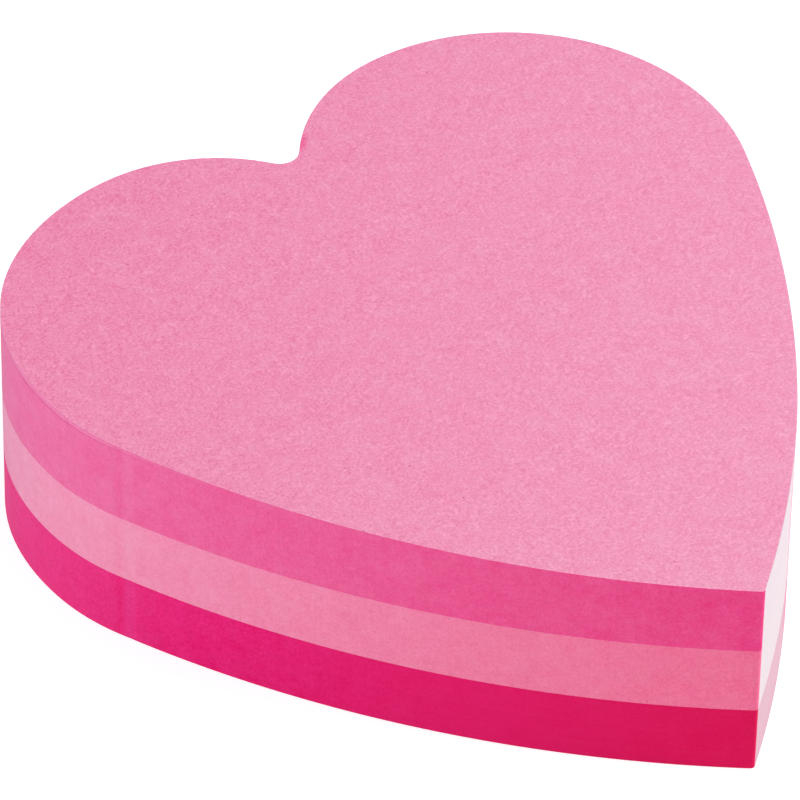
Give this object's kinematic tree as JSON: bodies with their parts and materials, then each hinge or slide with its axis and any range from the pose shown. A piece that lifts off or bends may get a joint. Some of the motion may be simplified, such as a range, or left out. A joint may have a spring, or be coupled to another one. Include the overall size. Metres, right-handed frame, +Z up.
{
  "type": "sticky note pad",
  "caption": "Thick heart-shaped pad of sticky notes, its die-cut paper sheets stacked in bright pink, pale pink and deep pink blocks.",
  "frame": {"origin": "middle of the box round the underside, on the surface that the pad lies on", "axes": "+X across the heart, +Y from the tip to the notch between the lobes, +Z up through the sheets"},
  "size_m": [0.07, 0.0728, 0.022],
  "materials": {
    "bright_pink_paper": "uncoated, lightly fibrous on the face and smooth on the cut edges",
    "pale_pink_paper": "uncoated, smooth on the cut edges",
    "deep_pink_paper": "uncoated, smooth on the cut edges"
  },
  "bodies": {
    "root": {"top_sheets_bright_pink": "bright_pink_paper", "middle_sheets_pale_pink": "pale_pink_paper", "bottom_sheets_deep_pink": "deep_pink_paper"}
  },
  "joints": []
}
